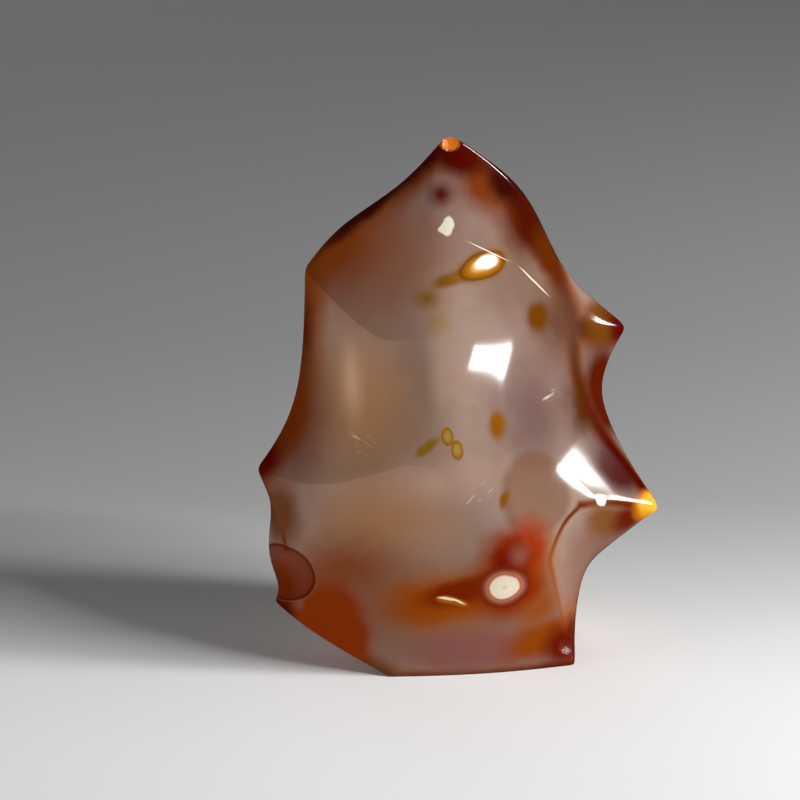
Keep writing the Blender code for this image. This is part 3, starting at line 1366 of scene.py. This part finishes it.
# Stains, eyes and scuffs, the lower ones first: middle, half sizes, and colour and veil or rings.
# A stain is a cloud where no veil is given.
STAINS = (
    # The stains of the back
    Stain((6.0, 20.0, 62.0), (24.0, 14.0, 26.0), "#86685a", Veil.HAZE, ragged=2.0),
    Stain((-2.0, 22.0, 16.0), (24.0, 16.0, 13.0), "#8c4614", Veil.HAZE, roll=12.0, ragged=2.0),
    Stain((4.0, 22.0, 13.0), (15.0, 14.0, 8.0), "#842400", roll=10.0, ragged=1.6),
    # The broad tints of the ground faces
    Stain((-14.0, -5.0, 81.0), (15.0, 25.0, 17.0), "#9b674f", Veil.HAZE, roll=35.0, ragged=2.0),
    Stain((-24.0, -2.0, 82.0), (9.5, 25.0, 21.0), "#88400e", Veil.HAZE, roll=45.0, ragged=2.0),
    Stain((-17.0, 0.8, 91.2), (20.0, 8.0, 2.4), "#3c0a00", roll=-40.0),
    # Partly the milky agate of the left hollow, partly painted light where the lamps leave it in shade
    Stain((-18.0, -11.5, 52.5), (20.0, 15.0, 19.0), "#b8875f", Veil.HAZE, ragged=2.0),
    # Painted light: a soft pale glow on the left hollow, not the agate's own colour
    Stain((-21.0, -8.5, 57.0), (3.2, 9.0, 9.0), "#d3a686", Veil.HAZE, roll=-4.0),
    Stain((-33.0, -2.5, 48.0), (11.0, 15.0, 18.0), "#702c00", Veil.HAZE, roll=16.0, ragged=1.5),
    # Painted reflection: the front face below the dome is lightened as if it mirrored the pale table
    Stain((-4.0, -22.0, 41.0), (15.0, 8.0, 6.0), "#b89684", Veil.HAZE, roll=-14.0, ragged=1.5),
    Stain((-4.0, -20.0, 13.0), (36.0, 16.0, 19.0), "#8a5e48", Veil.HAZE, ragged=2.0),
    Stain((-16.0, -20.5, 33.0), (20.0, 14.0, 9.0), "#ab7950", Veil.HAZE, strength=0.9, ragged=2.0),
    Stain((-22.0, -18.0, 22.0), (19.0, 14.0, 9.5), "#8a4a24", Veil.HAZE, ragged=2.0),
    # Painted shade: the grey faces on the right are darkened to offset the key light that falls on them
    Stain((12.0, -4.0, 80.0), (12.0, 16.0, 15.0), "#7a6052", Veil.HAZE, ragged=2.0),
    Stain((15.5, -12.0, 52.0), (15.0, 18.0, 19.0), "#6a514b", Veil.HAZE, ragged=2.0),
    Stain((20.0, 0.0, 67.0), (8.0, 14.0, 12.0), "#5e3e2c", Veil.HAZE, roll=-25.0, ragged=2.0),
    Stain((14.0, 0.0, 88.5), (7.5, 12.0, 11.0), "#541c02", roll=-20.0, ragged=1.5),
    Stain((4.0, -20.5, 5.5), (18.0, 12.0, 5.0), "#8a5850", ragged=1.5),
    Stain((27.0, -9.0, 19.0), (8.0, 14.0, 17.0), "#8a6658", ragged=1.5),
    Stain((24.0, -10.0, 7.0), (7.5, 12.0, 7.5), "#95562a", Veil.HAZE, ragged=1.5),
    Stain((30.0, -12.0, 29.0), (6.0, 12.0, 5.0), "#82522a", roll=25.0, ragged=1.0),
    # Painted shade: the palm of the right point darkened inside its rim, as its hollow shades
    Stain((15.5, -18.0, 37.8), (8.8, 9.0, 9.2), "#70482e", Veil.SPOT, strength=0.6, ragged=0.4),
    # Red and amber round the tip
    Stain((5.5, -1.0, 96.5), (9.0, 12.0, 7.5), "#74340e", roll=50.0, ragged=1.5),
    Stain((0.5, -2.0, 101.8), (8.0, 14.0, 5.0), "#4c0800", ragged=1.0),
    Stain((9.8, 0.6, 96.0), (7.6, 12.0, 5.0), "#340400", roll=52.0, ragged=1.0),
    Stain((-1.8, -2.2, 104.4), (2.2, 6.0, 1.6), "#d06c04", Veil.PATCH, ragged=0.4),
    Stain((15.0, 1.8, 87.0), (4.6, 12.0, 8.5), "#440c00", roll=-22.0, ragged=1.2),
    Stain((18.3, 3.6, 79.5), (3.4, 12.0, 8.5), "#582200", roll=-24.0, ragged=1.0),
    Stain((-3.4, -4.3, 94.7), (3.4, 5.0, 3.0), "#5a1402", Veil.HAZE, roll=-40.0),
    # Red and amber along the right side
    Stain((25.0, -3.0, 50.0), (5.0, 14.0, 12.0), "#4c2400", Veil.HAZE, roll=-8.0, ragged=1.5),
    Stain((29.5, 5.0, 51.0), (6.0, 14.0, 15.0), "#501200", roll=-4.0, ragged=1.2),
    Stain((29.0, 7.0, 65.0), (4.5, 10.0, 6.5), "#6c3c0a", ragged=1.2),
    Stain((34.0, 9.2, 64.0), (4.8, 14.0, 7.5), "#540400", roll=-8.0),
    Stain((31.5, -5.5, 38.5), (8.5, 12.0, 5.6), "#460600", roll=46.0, ragged=1.0),
    Stain((34.0, -9.5, 28.0), (3.8, 8.0, 5.5), "#701c04", roll=20.0),
    Stain((38.9, -8.0, 30.3), (4.4, 8.0, 4.8), "#c87008", Veil.PATCH, ragged=0.6),
    Stain((39.4, -8.0, 30.8), (3.6, 8.0, 3.8), "#edad30", Veil.PATCH, ragged=0.9),
    # The left point, the lower left, the heel and the foot
    Stain((-40.0, -2.0, 38.0), (6.5, 10.0, 4.5), "#5c0400", roll=-30.0),
    Stain((-36.0, -7.0, 29.0), (7.0, 10.0, 8.5), "#704024", ragged=1.2),
    Stain((-25.0, -17.0, 8.0), (9.6, 12.0, 13.0), "#8e3404", Veil.PATCH, ragged=1.5),
    Stain((-36.0, -8.0, 14.0), (6.0, 12.0, 7.0), "#5c0c00"),
    # Painted shade along the edge of the left scallop, over its orange inside
    Eye((-36.0, -9.0, 17.6), (9.0, 14.0, 5.9), HEEL_SCALLOP_SHADE, roll=14.0, ragged=0.12),
    Stain((16.0, -16.0, 6.5), (9.5, 10.0, 4.8), "#904208", roll=-25.0, ragged=1.5),
    Stain((22.0, -13.5, 4.4), (6.8, 12.0, 5.6), "#6a1400", roll=-35.0, ragged=1.0),
    # The red patch and its eye
    Stain((-1.0, -22.0, 17.0), (18.0, 8.0, 8.0), "#9a5a22", Veil.HAZE, roll=-10.0, ragged=1.5),
    Stain((11.5, -20.0, 22.0), (10.5, 8.0, 13.0), "#92501a", ragged=1.2),
    Stain((-3.5, -22.0, 16.5), (14.5, 6.0, 6.4), "#984606", roll=-8.0, ragged=1.6),
    Stain((11.5, -20.8, 26.0), (8.4, 6.0, 9.4), "#922a00", roll=14.0, ragged=1.2),
    Stain((11.0, -20.4, 18.0), (9.6, 6.0, 7.4), "#8a2800", ragged=1.2),
    Stain((0.5, -22.2, 18.6), (10.0, 4.0, 3.6), "#7a2000", roll=-12.0, ragged=1.2),
    Stain((10.0, -21.0, 24.5), (4.8, 4.0, 6.0), "#781400", roll=-10.0, ragged=1.0),
    Stain((16.5, -18.5, 13.5), (6.5, 5.0, 3.6), "#944c14", Veil.HAZE, roll=-40.0, ragged=1.2),
    Stain((12.0, -20.7, 26.0), (2.6, 4.0, 3.4), "#8e5040", Veil.HAZE),
    # Ochre blots and small eyes
    Stain((-6.1, -10.3, 75.3), (3.4, 4.0, 2.6), "#85601c", Veil.HAZE),
    Stain((-4.2, -12.1, 71.0), (3.4, 4.0, 3.2), "#957444", Veil.HAZE, strength=0.7),
    Stain((-1.2, -8.8, 78.8), (4.8, 4.0, 1.9), "#80540a", roll=-14.0),
    Stain((15.6, -2.0, 69.0), (3.4, 4.0, 3.8), "#643600"),
    Stain((7.6, -17.7, 51.9), (2.3, 4.0, 3.5), "#824c04"),
    Stain((-6.0, -21.6, 48.6), (3.8, 3.0, 1.3), "#906c1c", roll=-35.0),
    Stain((8.9, -21.4, 37.6), (1.1, 3.0, 2.7), "#84500c", roll=22.0),
    Eye((-2.3, -21.7, 50.9), (1.3, 2.5, 2.0), SMALL_EYE, roll=-4.0, ragged=0.25),
    Eye((-0.4, -21.9, 48.2), (1.3, 2.5, 2.2), SMALL_EYE, roll=-8.0, ragged=0.25),
    Eye((4.4, -6.0, 80.6), (7.8, 6.0, 3.8), WHITE_EYE, roll=-21.0, ragged=0.6),
    Stain((5.4, -6.0, 81.3), (2.9, 4.0, 1.7), "#fdf6eb", Veil.PATCH, roll=-26.0, ragged=1.1),
    Eye((9.2, -20.7, 19.1), (6.0, 6.0, 5.2), CREAM_EYE, roll=-6.0, ragged=0.5),
    # Knocks and scratches in the polish
    Stain((-1.9, -6.2, 88.6), (1.5, 3.0, 2.1), "#f2e8d4", Veil.SPOT, roll=20.0, ragged=1.9),
    Stain((5.6, -4.6, 83.3), (5.6, 5.0, 0.13), "#f0e2cc", Veil.PATCH, roll=24.0, ragged=0.15),
    Stain((14.8, -0.4, 76.0), (5.6, 5.0, 0.15), "#f0e2d2", Veil.PATCH, roll=43.0, ragged=0.15),
    Stain((-1.0, -21.9, 16.5), (3.6, 3.0, 0.9), "#a85c08", Veil.PATCH, roll=12.0),
    Stain((-1.2, -21.9, 16.7), (2.9, 3.0, 0.32), "#ffe6b8", Veil.PATCH, roll=14.0, ragged=0.9),
    Stain((28.5, -12.4, 34.4), (1.5, 3.0, 1.7), "#fdf6e8", Veil.SPOT, roll=15.0, ragged=1.7),
    Scuff((-18.5, -13.5, 47.0), (4.0, 8.0, 3.6), roll=38.0),
    Scuff((18.1, -7.8, 55.0), (2.2, 6.0, 2.2), roll=-35.0),
    Scuff((3.5, -22.2, 39.5), (5.5, 6.0, 2.6), roll=-38.0),
)


def report(piece: bpy.types.Object) -> None:
    """Log a finished piece's name and size."""
    LOG.info("%s: %d verts, %d faces", piece.name, len(piece.data.vertices), len(piece.data.polygons))


def main() -> None:
    """Build the stone and its studio."""
    logging.basicConfig(level=logging.INFO, format="%(name)s: %(message)s")
    colours = AgateColours(STAINS)
    stone = AgateStone(
        rings=RINGS,
        apex=APEX,
        base_left=BASE_LEFT,
        base_front=BASE_FRONT,
        splits=SPLITS,
        ridges=RIDGES,
        tips=TIPS,
        painted_shades=PAINTED_SHADES,
        cuts=CUTS,
    )
    report(stone.build(PolishedAgate(colours).make(), BruisedAgate(colours).make()))
    report(Studio().build())


if __name__ == "__main__":
    main()
